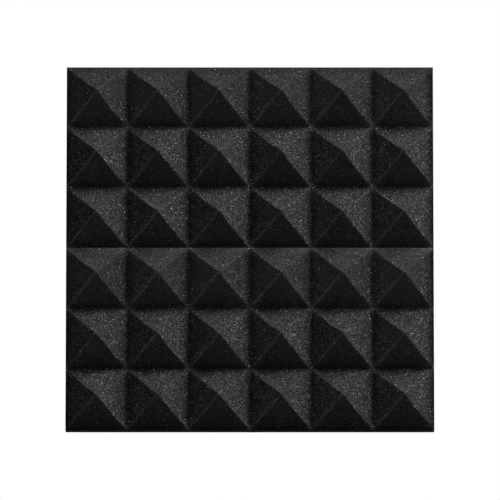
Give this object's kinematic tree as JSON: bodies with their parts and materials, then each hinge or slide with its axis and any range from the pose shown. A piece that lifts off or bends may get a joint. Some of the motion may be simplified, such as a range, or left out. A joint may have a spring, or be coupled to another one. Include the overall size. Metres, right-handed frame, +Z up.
{
  "type": "acoustic foam panel",
  "caption": "Square acoustic foam panel: foam tiles cut into rows of pyramids, laid edge to edge on a peel-and-stick backing with a split paper liner.",
  "frame": {"origin": "centre of the adhesive face that meets the wall", "axes": "+Z up the wall, -Y out of the wall along the pyramids, +X to the right as seen from the front"},
  "size_m": [0.3, 0.0502, 0.3],
  "materials": {
    "foam": "open-cell polyurethane foam, wire cut, charcoal, matt with small bright cell walls",
    "adhesive": "clear acrylic adhesive on a fine open mesh, tacky and slightly shiny",
    "liner_paper": "silicone-coated kraft paper, smooth with a faint sheen"
  },
  "bodies": {
    "panel": {"foam_tile_lower_left": "foam", "foam_tile_lower_right": "foam", "foam_tile_upper_left": "foam", "foam_tile_upper_right": "foam", "adhesive_sheet": "adhesive"},
    "liner_left": {"release_liner_left": "liner_paper"},
    "liner_right": {"release_liner_right": "liner_paper"}
  },
  "joints": [
    {"name": "liner_left_peel", "type": "hinge", "parent": "panel", "child": "liner_left", "pos_m": [-0.15, 0, 0], "axis": [0, 0, 1], "range_deg": [0, 170]},
    {"name": "liner_right_peel", "type": "hinge", "parent": "panel", "child": "liner_right", "pos_m": [0.15, 0, 0], "axis": [0, 0, -1], "range_deg": [0, 170]}
  ]
}
